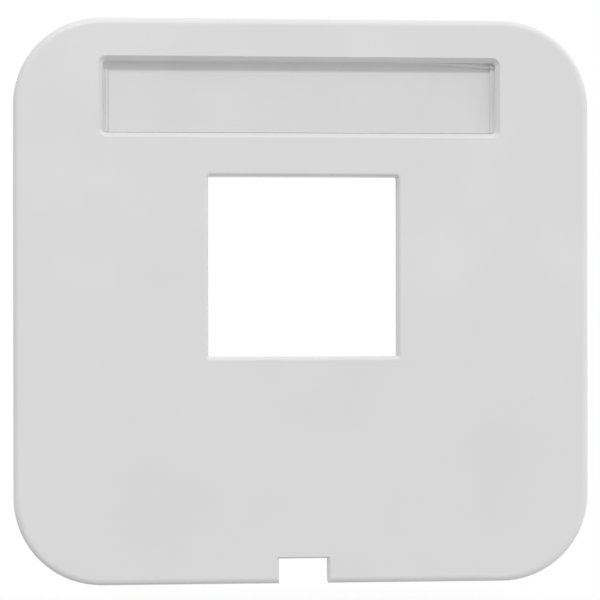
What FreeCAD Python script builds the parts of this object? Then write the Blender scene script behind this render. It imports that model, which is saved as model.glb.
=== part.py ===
import FreeCAD, Part
import math
import os

# Data outlet centre plate with its label window, in millimetres.
# X is right, Z is up and Y runs into the wall, so the front face looks along -Y.
# The origin is the middle of the plate on the plane of its rear rim.

# Front plate
plate_width = 50.0
plate_height = 49.0
plate_corner = 7.6
front_edge = 0.6  # rounding where the front meets the skirt
front_wall = 2.0

# Skirt behind the front
skirt_depth = 7.0  # front face to rear rim
skirt_wall = 1.4
skirt_draft = 0.5  # degrees, opening towards the rear
skirt_root = 0.8  # rounding inside, where the skirt meets the front wall
rim_edge = 0.2  # bevel of the rear rim

# Cut-out for one modular jack
jack_width = 16.5
jack_height = 15.7
jack_corner = 0.15
jack_below = 3.72  # from the label recess down to the cut-out
jack_edge = 0.3

# Guide collar behind the cut-out
collar_gap = 0.8
collar_wall = 1.2
collar_height = 3.0
collar_edge = 0.25

# Label recess
recess_width = 34.1
recess_height = 6.2
recess_corner = 0.3
recess_drop = 6.83  # from the top edge of the plate to the middle of the recess
recess_side = -0.25  # from the middle of the plate to the middle of the recess, left is negative
recess_edge = 0.4  # bevel of its rim
ledge_width = 0.4  # at both ends, for the window to rest on
slip_room = 0.2  # between the ledges, for a label slip
bed_wall = 0.9  # material left around the recess at the back
bed_floor = 1.2
bed_edge = 0.25

# Clear window in the recess
window_gap = 0.05  # all round
window_sink = 0.15  # below the front face
window_thickness = 0.8
window_seat = 0.05  # between the window and the ledges
window_edge = 0.12  # bevel round the front of the window

# Snap lugs at the two ends of the window
lug_radius = 0.2
lug_proud = 0.3
lug_length = 3.0
lug_clearance = 0.05

# Slanted corner at the top right of the window, where it is prised out
lift_length = 8.0  # along the top edge
lift_height = 0.45  # down the front, at the right end
lift_depth = 0.72

# Prising notch in the bottom edge
notch_width = 4.3
notch_depth = 2.2
notch_edge = 0.15
notch_relief = 0.6  # wider opening in the skirt behind it

# Ribs on the back of the front wall
rib_wall = 1.0
rib_height = 1.8
rib_draft = 1.5  # degrees
rib_edge = 0.2

# Snap hooks that hold the plate on its support ring
hook_spacing = 18.0  # between the two hooks of one side
hook_width = 6.0
hook_clear = 2.2  # room to flex, from hook to skirt
hook_root = 1.7
hook_tip = 1.1
hook_fillet = 0.5
hook_edge = 0.2
ring_thickness = 1.5  # of the support ring
ring_clearance = 0.1
catch_reach = 0.9
catch_land = 0.5
catch_slope = 0.25  # rise of the holding face, so that the plate can be pulled off
nose_length = 2.2
nose_inset = 0.5
web_wall = 1.2
web_reach = 2.0
web_height = 3.5

# Ejector marks on the back of the front wall
mark_radius = 1.5
mark_depth = 0.1
mark_side = 15.0  # from the middle, to each side
mark_drop = 15.5  # below the middle

# Helpers for the cuts
past = 1.0  # how far a cut runs past the face it opens
small = 1e-5

front = -skirt_depth
rear = 0.0
wall_back = front + front_wall
skirt_spread = skirt_depth * math.tan(math.radians(skirt_draft))
recess_rise = plate_height / 2 - recess_drop
jack_rise = recess_rise - recess_height / 2 - jack_below - jack_height / 2
ledge = front + window_sink + window_thickness + window_seat
recess_floor = ledge + slip_room
window_width = recess_width - 2 * window_gap
window_height = recess_height - 2 * window_gap
window_front = front + window_sink
window_back = window_front + window_thickness
jack_at = (0.0, jack_rise)
recess_at = (recess_side, recess_rise)


def outline(width, height, radius, y, at):
    # Rectangle with round corners round (x, z), in a plane across Y
    arcs = []
    for quarter in range(4):
        side_x = 1 if quarter in (0, 3) else -1
        side_z = 1 if quarter in (0, 1) else -1
        centre_x = at[0] + side_x * (width / 2 - radius)
        centre_z = at[1] + side_z * (height / 2 - radius)
        points = []
        for step in range(3):
            angle = math.radians(90 * quarter + 45 * step)
            point_x = centre_x + radius * math.cos(angle)
            point_z = centre_z + radius * math.sin(angle)
            points.append(FreeCAD.Vector(point_x, y, point_z))
        arcs.append(points)
    edges = []
    for quarter in range(4):
        here = arcs[quarter]
        following = arcs[(quarter + 1) % 4]
        edges.append(Part.Arc(*here).toShape())
        edges.append(Part.LineSegment(here[2], following[0]).toShape())
    return Part.Wire(edges)


def block(width, height, radius, y_from, y_to, at=(0.0, 0.0), spread=0.0):
    # Solid between two such outlines, the second larger by spread on every side
    near = outline(width, height, radius, y_from, at)
    far = outline(width + 2 * spread, height + 2 * spread, radius + spread, y_to, at)
    return Part.makeLoft([near, far], True, True)


def rim_edges(shape, y, width, height, at):
    # Edges that lie in the plane at y, within the given rectangle
    found = []
    for edge in shape.Edges:
        middle = edge.CenterOfMass
        flat = abs(middle.y - y) < small
        flat = flat and all(abs(vertex.Y - y) < small for vertex in edge.Vertexes)
        inside = abs(middle.x - at[0]) < width / 2 + small
        inside = inside and abs(middle.z - at[1]) < height / 2 + small
        if flat and inside:
            found.append(edge)
    return found


def rounded(shape, radius, y, width, height, at=(0.0, 0.0)):
    return shape.makeFillet(radius, rim_edges(shape, y, width, height, at))


def bevelled(shape, size, y, width, height, at=(0.0, 0.0)):
    return shape.makeChamfer(size, rim_edges(shape, y, width, height, at))


def prism(points, direction):
    # Straight solid from a flat profile of lines
    wire = Part.makePolygon(points + points[:1])
    return Part.Face(wire).extrude(direction)


def shell():
    # Cap with a rounded front edge and a drafted skirt
    body = block(plate_width, plate_height, plate_corner, front, rear, spread=skirt_spread)
    body = rounded(body, front_edge, front, plate_width, plate_height)
    inner_width = plate_width - 2 * skirt_wall
    inner_height = plate_height - 2 * skirt_wall
    inner_corner = plate_corner - skirt_wall
    inner_depth = skirt_depth - front_wall
    inner_spread = inner_depth * math.tan(math.radians(skirt_draft))
    hollow = block(inner_width, inner_height, inner_corner, wall_back, rear, spread=inner_spread)
    hollow = rounded(hollow, skirt_root, wall_back, inner_width, inner_height)
    body = body.cut(hollow)
    rim_width = plate_width + 2 * skirt_spread
    rim_height = plate_height + 2 * skirt_spread
    return bevelled(body, rim_edge, rear, rim_width, rim_height)


def jack_cut():
    return block(jack_width, jack_height, jack_corner, front - past, wall_back + past, jack_at)


def collar():
    # Frame on the back of the wall, set out from the cut-out so that the front hides it
    inner_width = jack_width + 2 * collar_gap
    inner_height = jack_height + 2 * collar_gap
    inner_corner = jack_corner + collar_gap
    outer_width = inner_width + 2 * collar_wall
    outer_height = inner_height + 2 * collar_wall
    outer_corner = inner_corner + collar_wall
    root = wall_back - front_wall / 2
    top = wall_back + collar_height
    ring = block(outer_width, outer_height, outer_corner, root, top, jack_at)
    ring = ring.cut(block(inner_width, inner_height, inner_corner, root, top, jack_at))
    return bevelled(ring, collar_edge, top, outer_width, outer_height, jack_at)


def label_bed():
    # Pad behind the recess, which keeps its floor as thick as bed_floor
    width = recess_width + 2 * bed_wall
    height = recess_height + 2 * bed_wall
    corner = recess_corner + bed_wall
    top = recess_floor + bed_floor
    pad = block(width, height, corner, wall_back - front_wall / 2, top, recess_at)
    return bevelled(pad, bed_edge, top, width, height, recess_at)


def recess_cut():
    return block(recess_width, recess_height, recess_corner, front - past, ledge, recess_at)


def slip_cut():
    # Step down between the two ledges
    slip_width = recess_width - 2 * ledge_width
    return block(slip_width, recess_height, recess_corner, window_back, recess_floor, recess_at)


def lug(side, radius, length):
    # Half-round ridge along Z at one end of the window
    middle_x = recess_side + side * (window_width / 2 + lug_proud - lug_radius)
    middle_y = window_back - lug_radius - lug_clearance
    foot = FreeCAD.Vector(middle_x, middle_y, recess_rise - length / 2)
    return Part.makeCylinder(radius, length, foot, FreeCAD.Vector(0, 0, 1))


def notch_cut():
    # Open cut in the bottom edge, with a chamfer at the front and more room in the skirt
    bottom = -plate_height / 2 - skirt_spread - past
    top = -plate_height / 2 + notch_depth

    def section(y, grow):
        half = notch_width / 2 + grow
        corners = [(-half, bottom), (half, bottom), (half, top + grow), (-half, top + grow)]
        points = [FreeCAD.Vector(x, y, z) for x, z in corners]
        return Part.makePolygon(points + points[:1])

    chamfer = [section(front - past, notch_edge + past), section(front + notch_edge, 0.0)]
    mouth = Part.makeLoft(chamfer, True, True)
    through = Part.makeLoft([section(front - past, 0.0), section(rear + past, 0.0)], True, True)
    relief_width = notch_width + 2 * notch_relief
    corner = FreeCAD.Vector(-relief_width / 2, wall_back, bottom)
    relief = Part.makeBox(relief_width, rear + past - wall_back, top - bottom, corner)
    return mouth.fuse([through, relief])


def rib(start, end):
    # Tapered wall on the back of the front wall, from start to end as (x, z)
    run = FreeCAD.Vector(end[0] - start[0], 0, end[1] - start[1])
    along = FreeCAD.Vector(run).normalize()
    across = FreeCAD.Vector(-along.z, 0, along.x)
    root = FreeCAD.Vector(start[0], wall_back - front_wall / 2, start[1])
    rise = FreeCAD.Vector(0, front_wall / 2 + rib_height, 0)
    half_root = rib_wall / 2
    half_tip = half_root - rise.y * math.tan(math.radians(rib_draft))
    points = [root - across * half_root, root + across * half_root]
    points += [root + rise + across * half_tip, root + rise - across * half_tip]
    wall = prism(points, run)
    long_edges = []
    for edge in wall.Edges:
        on_tip = abs(edge.CenterOfMass.y - root.y - rise.y) < small
        if on_tip and abs(edge.Length - run.Length) < small:
            long_edges.append(edge)
    return wall.makeFillet(rib_edge, long_edges)


def ribs():
    # From the collar to the skirt, sideways at its middle and down from its lower corners
    collar_half = jack_width / 2 + collar_gap + collar_wall / 2
    collar_low = jack_rise - jack_height / 2 - collar_gap - collar_wall / 2
    skirt_half = plate_width / 2 - skirt_wall / 2
    skirt_low = -plate_height / 2 + skirt_wall / 2
    walls = []
    for side in (-1, 1):
        walls.append(rib((side * collar_half, jack_rise), (side * skirt_half, jack_rise)))
        walls.append(rib((side * collar_half, collar_low), (side * collar_half, skirt_low)))
    return walls


def hook(side, z):
    # Flexing arm with a catch that faces the skirt, and a web behind its root
    outer = plate_width / 2 - skirt_wall - hook_clear
    catch = rear + ring_thickness + ring_clearance
    land = catch + catch_slope
    tip = land + catch_land + nose_length
    inner_root = outer - hook_root
    inner_tip = outer - hook_tip
    buried = wall_back - front_wall / 2

    def point(x, y):
        return FreeCAD.Vector(side * x, y, z - hook_width / 2)

    slack = hook_fillet * (1 - math.sqrt(0.5))
    outer_foot = Part.Arc(
        point(outer + hook_fillet, wall_back),
        point(outer + slack, wall_back + slack),
        point(outer, wall_back + hook_fillet),
    ).toShape()
    inner_foot = Part.Arc(
        point(inner_root, wall_back + hook_fillet),
        point(inner_root - slack, wall_back + slack),
        point(inner_root - hook_fillet, wall_back),
    ).toShape()
    climb = [
        point(outer, wall_back + hook_fillet),
        point(outer, catch),
        point(outer + catch_reach, land),
        point(outer + catch_reach, land + catch_land),
        point(outer - nose_inset, tip),
        point(inner_tip, tip),
        point(inner_root, wall_back + hook_fillet),
    ]
    base = [
        point(inner_root - hook_fillet, wall_back),
        point(inner_root - hook_fillet, buried),
        point(outer + hook_fillet, buried),
        point(outer + hook_fillet, wall_back),
    ]
    edges = [outer_foot, inner_foot]
    for points in (climb, base):
        for begin, end in zip(points, points[1:]):
            edges.append(Part.LineSegment(begin, end).toShape())
    profile = Part.Face(Part.Wire(Part.__sortEdges__(edges)))
    arm = profile.extrude(FreeCAD.Vector(0, 0, hook_width))
    free_edges = []
    for edge in arm.Edges:
        across = abs(edge.Vertexes[0].Z - edge.Vertexes[-1].Z) < small
        above = all(vertex.Y > wall_back + hook_fillet - small for vertex in edge.Vertexes)
        if across and above:
            free_edges.append(edge)
    arm = arm.makeChamfer(hook_edge, free_edges)
    to_web = FreeCAD.Vector(0, 0, (hook_width - web_wall) / 2)
    triangle = [
        point(inner_root + hook_tip / 2, buried) + to_web,
        point(inner_root - web_reach, buried) + to_web,
        point(inner_root - web_reach, wall_back) + to_web,
        point(inner_root, wall_back + web_height) + to_web,
        point(inner_root + hook_tip / 2, wall_back + web_height) + to_web,
    ]
    web = prism(triangle, FreeCAD.Vector(0, 0, web_wall))
    return arm.fuse(web)


def hooks():
    arms = []
    for side in (-1, 1):
        for level in (-1, 1):
            arms.append(hook(side, level * hook_spacing / 2))
    return arms


def ejector_marks():
    marks = []
    for x in (-mark_side, 0.0, mark_side):
        foot = FreeCAD.Vector(x, wall_back - mark_depth, -mark_drop)
        marks.append(Part.makeCylinder(mark_radius, mark_depth + past, foot, FreeCAD.Vector(0, 1, 0)))
    return marks


def centre_plate():
    body = shell().fuse(label_bed())
    body = body.cut(jack_cut())
    body = rounded(body, jack_edge, front, jack_width, jack_height, jack_at)
    body = body.cut(recess_cut())
    body = bevelled(body, recess_edge, front, recess_width, recess_height, recess_at)
    body = body.fuse([collar()] + ribs() + hooks())
    grooves = []
    for side in (-1, 1):
        grooves.append(lug(side, lug_radius + lug_clearance, lug_length + 2 * lug_clearance))
    body = body.cut(grooves + ejector_marks() + [slip_cut(), notch_cut()])
    return body.removeSplitter()


def lift_cut():
    # Everything in front of a plane that slants across the top right corner of the window
    right = recess_side + window_width / 2
    top = recess_rise + window_height / 2
    corner = FreeCAD.Vector(right, window_front, top)
    left_end = corner - FreeCAD.Vector(lift_length, 0, 0)
    low_end = corner - FreeCAD.Vector(0, 0, lift_height)
    deep_end = corner + FreeCAD.Vector(0, lift_depth, 0)
    middle = (left_end + low_end + deep_end) * (1 / 3)
    points = []
    for point in (left_end, low_end, deep_end):
        points.append(middle + (point - middle) * 3)
    return prism(points, (corner - middle) * 3)


def label_window():
    # Clear strip with a bevelled front, two lugs and the slanted corner
    corner = recess_corner - window_gap
    strip = block(window_width, window_height, corner, window_front, window_back, recess_at)
    strip = bevelled(strip, window_edge, window_front, window_width, window_height, recess_at)
    strip = strip.fuse([lug(-1, lug_radius, lug_length), lug(1, lug_radius, lug_length)])
    return strip.cut(lift_cut()).removeSplitter()


os.makedirs("parts", exist_ok=True)
pieces = {"centre_plate": centre_plate(), "label_window": label_window()}
for name, shape in pieces.items():
    solid = shape.Solids[0]
    print(name, "solids", len(shape.Solids), "valid", shape.isValid(), "volume", round(solid.Volume, 2))
    solid.exportStep("parts/" + name + ".step")
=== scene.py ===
import math

import bmesh
import bpy
from mathutils import Matrix, Vector

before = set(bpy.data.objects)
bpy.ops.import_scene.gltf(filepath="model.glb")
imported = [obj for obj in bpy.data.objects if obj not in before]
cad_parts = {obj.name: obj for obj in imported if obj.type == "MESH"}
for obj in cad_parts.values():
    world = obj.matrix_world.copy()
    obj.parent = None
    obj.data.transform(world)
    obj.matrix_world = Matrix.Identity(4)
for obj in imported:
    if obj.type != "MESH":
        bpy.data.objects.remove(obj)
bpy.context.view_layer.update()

mm = 0.001
print("frame loaded:", sorted(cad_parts))


def linear(hexColour):
    # sRGB hex to the linear colour that the shader wants
    out = []
    for i in (1, 3, 5):
        v = int(hexColour[i:i + 2], 16) / 255
        out.append(v / 12.92 if v <= 0.04045 else ((v + 0.055) / 1.055) ** 2.4)
    return (*out, 1.0)


def addNode(tree, kind, settings=None, inputs=None):
    # inputs takes plain values, or an output socket to link from
    node = tree.nodes.new(kind)
    for key, value in (settings or {}).items():
        setattr(node, key, value)
    for key, value in (inputs or {}).items():
        if isinstance(value, bpy.types.NodeSocket):
            tree.links.new(value, node.inputs[key])
        else:
            node.inputs[key].default_value = value
    return node


def newMaterial(name):
    material = bpy.data.materials.new(name)
    material.use_nodes = True
    material.node_tree.nodes.clear()
    return material, material.node_tree


def dress(nodeName, material):
    # the CAD node keeps its mesh and only changes its slots
    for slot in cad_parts[nodeName].material_slots:
        slot.material = material


# plate
plateLook = {
    "colour": "#DCDCDC",
    "colourLow": "#D8D8D8",     # where the melt cooled a little flatter
    "cloudSize": 9.0,           # mm, soft tone drift over the face
    "cloudDetail": 2.0,
    "cloudBreakup": 0.5,
    "grainSize": 0.35,          # mm, real spark texture is about 0.1 and would not show
    "grainDepth": 0.004,        # mm
    "grainStrength": 0.5,
    "grainDetail": 3.0,
    "grainBreakup": 0.55,
    "noiseRange": (0.3, 0.7),   # where most of the noise lies
    "roughness": (0.44, 0.54),
    "ior": 1.52,
}


def mouldedPlastic():
    # ABS blend, injection moulded in a spark-eroded tool: an even satin skin that
    # softens highlights, with a hint of tone drift and a very fine grain
    material, tree = newMaterial("abs_spark_moulded")
    look = plateLook
    low, high = look["noiseRange"]
    coords = addNode(tree, "ShaderNodeTexCoord")
    clouds = addNode(tree, "ShaderNodeTexNoise", inputs={
        "Vector": coords.outputs["Object"], "Scale": 1 / (look["cloudSize"] * mm),
        "Detail": look["cloudDetail"], "Roughness": look["cloudBreakup"]})
    tone = addNode(tree, "ShaderNodeValToRGB", inputs={"Fac": clouds.outputs["Fac"]})
    tone.color_ramp.elements[0].position = low
    tone.color_ramp.elements[0].color = linear(look["colourLow"])
    tone.color_ramp.elements[1].position = high
    tone.color_ramp.elements[1].color = linear(look["colour"])
    grain = addNode(tree, "ShaderNodeTexNoise", inputs={
        "Vector": coords.outputs["Object"], "Scale": 1 / (look["grainSize"] * mm),
        "Detail": look["grainDetail"], "Roughness": look["grainBreakup"]})
    rough = addNode(tree, "ShaderNodeMapRange", inputs={
        "Value": grain.outputs["Fac"], "From Min": low, "From Max": high,
        "To Min": look["roughness"][0], "To Max": look["roughness"][1]})
    bump = addNode(tree, "ShaderNodeBump", inputs={
        "Height": grain.outputs["Fac"], "Strength": look["grainStrength"],
        "Distance": look["grainDepth"] * mm})
    shader = addNode(tree, "ShaderNodeBsdfPrincipled", inputs={
        "Base Color": tone.outputs["Color"], "Roughness": rough.outputs["Result"],
        "Normal": bump.outputs["Normal"], "IOR": look["ior"]})
    addNode(tree, "ShaderNodeOutputMaterial", inputs={"Surface": shader.outputs["BSDF"]})
    return material


dress("centre_plate", mouldedPlastic())
print("plate dressed")


# label window
windowLook = {
    "tint": "#FDFDFD",
    "shade": "#FDFDFD",         # what each face takes from the light that passes
    "ior": 1.49,
    "roughness": (0.06, 0.10),
    "hazeSize": 5.0,            # mm, faint handling haze
    "hazeDetail": 3.0,
    "hazeBreakup": 0.6,
    "noiseRange": (0.35, 0.7),
}


def clearPlastic():
    # acrylic moulded in a polished tool: clear and glossy, with a trace of haze from
    # handling that softens what its edges mirror
    material, tree = newMaterial("acrylic_polished_clear")
    look = windowLook
    coords = addNode(tree, "ShaderNodeTexCoord")
    haze = addNode(tree, "ShaderNodeTexNoise", inputs={
        "Vector": coords.outputs["Object"], "Scale": 1 / (look["hazeSize"] * mm),
        "Detail": look["hazeDetail"], "Roughness": look["hazeBreakup"]})
    rough = addNode(tree, "ShaderNodeMapRange", inputs={
        "Value": haze.outputs["Fac"],
        "From Min": look["noiseRange"][0], "From Max": look["noiseRange"][1],
        "To Min": look["roughness"][0], "To Max": look["roughness"][1]})
    shader = addNode(tree, "ShaderNodeBsdfPrincipled", inputs={
        "Base Color": linear(look["tint"]), "Roughness": rough.outputs["Result"],
        "IOR": look["ior"], "Transmission Weight": 1.0})
    # lamps and bounced light go straight through to the floor of the recess
    path = addNode(tree, "ShaderNodeLightPath")
    passing = addNode(tree, "ShaderNodeMath", {"operation": "MAXIMUM"}, {
        0: path.outputs["Is Shadow Ray"], 1: path.outputs["Is Diffuse Ray"]})
    clear = addNode(tree, "ShaderNodeBsdfTransparent", inputs={"Color": linear(look["shade"])})
    mix = addNode(tree, "ShaderNodeMixShader", inputs={
        0: passing.outputs[0], 1: shader.outputs["BSDF"], 2: clear.outputs["BSDF"]})
    addNode(tree, "ShaderNodeOutputMaterial", inputs={"Surface": mix.outputs["Shader"]})
    return material


dress("label_window", clearPlastic())
print("window dressed")


# stage
stageLook = {
    "drop": 45.0,               # mm below the middle of the plate
    "radius": 120.0,            # mm
    "segments": 64,
    "fade": (0.02, 0.5),        # share of the way in from the rim, from clear to solid
    "colour": "#E0E0E0",
    "ambient": 0.865,           # level of the light from all round
    "lean": (0.435, 0.31, 0.09),  # how much more of it comes from right, back and above
}


def makeFloor():
    look = stageLook
    bm = bmesh.new()
    bmesh.ops.create_circle(bm, cap_ends=True, segments=look["segments"], radius=look["radius"] * mm)
    bmesh.ops.translate(bm, verts=bm.verts, vec=(0, 0, -look["drop"] * mm))
    mesh = bpy.data.meshes.new("pale_floor")
    bm.to_mesh(mesh)
    bm.free()
    floor = bpy.data.objects.new("pale_floor", mesh)
    bpy.context.scene.collection.objects.link(floor)
    # matt board that fades into the white round it and is clear from below
    material, tree = newMaterial("matt_board")
    coords = addNode(tree, "ShaderNodeTexCoord")
    centred = addNode(tree, "ShaderNodeMapping", inputs={
        "Vector": coords.outputs["Object"], "Location": (0, 0, look["drop"] / look["radius"]),
        "Scale": (1 / (look["radius"] * mm),) * 3})
    inward = addNode(tree, "ShaderNodeTexGradient", {"gradient_type": "SPHERICAL"}, {
        "Vector": centred.outputs["Vector"]})
    solid = addNode(tree, "ShaderNodeMapRange", inputs={
        "Value": inward.outputs["Fac"], "From Min": look["fade"][0], "From Max": look["fade"][1]})
    geometry = addNode(tree, "ShaderNodeNewGeometry")
    cover = addNode(tree, "ShaderNodeMapRange", inputs={
        "Value": geometry.outputs["Backfacing"], "To Min": solid.outputs["Result"], "To Max": 0.0})
    board = addNode(tree, "ShaderNodeBsdfDiffuse", inputs={"Color": linear(look["colour"])})
    clear = addNode(tree, "ShaderNodeBsdfTransparent")
    mix = addNode(tree, "ShaderNodeMixShader", inputs={
        0: cover.outputs["Result"], 1: clear.outputs["BSDF"], 2: board.outputs["BSDF"]})
    addNode(tree, "ShaderNodeOutputMaterial", inputs={"Surface": mix.outputs["Shader"]})
    mesh.materials.append(material)
    floor.visible_diffuse = False   # the board shows the shadow but throws no light back up


def makeWorld():
    # plain white to the eye and in reflections, and a soft uneven light on the object
    world = bpy.data.worlds.new("soft_studio")
    bpy.context.scene.world = world
    world.use_nodes = True
    tree = world.node_tree
    tree.nodes.clear()
    path = addNode(tree, "ShaderNodeLightPath")
    seen = addNode(tree, "ShaderNodeMath", {"operation": "MAXIMUM"}, {
        0: path.outputs["Is Camera Ray"], 1: path.outputs["Is Glossy Ray"]})
    seen = addNode(tree, "ShaderNodeMath", {"operation": "MAXIMUM"}, {
        0: seen.outputs[0], 1: path.outputs["Is Transmission Ray"]})
    coords = addNode(tree, "ShaderNodeTexCoord")
    lean = addNode(tree, "ShaderNodeVectorMath", {"operation": "DOT_PRODUCT"}, {
        0: coords.outputs["Generated"], 1: stageLook["lean"]})
    soft = addNode(tree, "ShaderNodeMath", {"operation": "ADD"}, {
        0: lean.outputs["Value"], 1: stageLook["ambient"]})
    level = addNode(tree, "ShaderNodeMapRange", inputs={
        "Value": seen.outputs[0], "To Min": soft.outputs[0], "To Max": 1.0})
    glow = addNode(tree, "ShaderNodeBackground", inputs={
        "Color": (1, 1, 1, 1), "Strength": level.outputs["Result"]})
    addNode(tree, "ShaderNodeOutputWorld", inputs={"Surface": glow.outputs["Background"]})


makeFloor()
makeWorld()
print("stage ready")


# light
keyLook = {
    "place": (-630.0, -1735.0, 1685.0),  # mm, in front, above and a little to the left
    "size": 400.0,                       # mm
    "power": 27.5,                       # W
}


def makeKey():
    lamp = bpy.data.lights.new("key_softbox", "AREA")
    lamp.shape = "DISK"
    lamp.size = keyLook["size"] * mm
    lamp.energy = keyLook["power"]
    key = bpy.data.objects.new("key_softbox", lamp)
    bpy.context.scene.collection.objects.link(key)
    key.location = Vector(keyLook["place"]) * mm
    key.rotation_mode = "QUATERNION"
    key.rotation_quaternion = (-key.location).to_track_quat("-Z", "Y")
    # in the window it would only show as sparks along the thin edges
    spared = bpy.data.collections.new("not_lit_by_key")
    spared.objects.link(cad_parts["label_window"])
    spared.collection_objects[0].light_linking.link_state = "EXCLUDE"
    key.light_linking.receiver_collection = spared


makeKey()
print("light ready")


# camera
cameraLook = {
    "aim": (-0.315, -7.0, 0.10),  # mm, the point in the middle of the picture
    "distance": 150.0,            # mm
    "left": 3.59,                 # degrees to the left of the plate's normal
    "above": 0.09,                # degrees
    "roll": -0.07,                # degrees
    "pictureWidth": 600,          # pixels
    "focalPixels": 1732.3,        # focal length in those pixels
    "sensorWidth": 36.0,          # mm
    "clip": (0.01, 20.0),         # m
}


def makeCamera():
    look = cameraLook
    data = bpy.data.cameras.new("camera")
    data.sensor_width = look["sensorWidth"]
    data.lens = look["focalPixels"] / look["pictureWidth"] * look["sensorWidth"]
    data.clip_start, data.clip_end = look["clip"]
    camera = bpy.data.objects.new("camera", data)
    bpy.context.scene.collection.objects.link(camera)
    left = math.radians(look["left"])
    above = math.radians(look["above"])
    flat = math.cos(above)
    away = Vector((-math.sin(left) * flat, -math.cos(left) * flat, math.sin(above)))
    camera.location = (Vector(look["aim"]) + away * look["distance"]) * mm
    level = (-away).to_track_quat("-Z", "Y").to_matrix()
    turn = level @ Matrix.Rotation(math.radians(look["roll"]), 3, "Z")
    camera.rotation_euler = turn.to_euler()
    bpy.context.scene.camera = camera


makeCamera()
bpy.context.scene.view_settings.view_transform = "Standard"
print("camera ready")
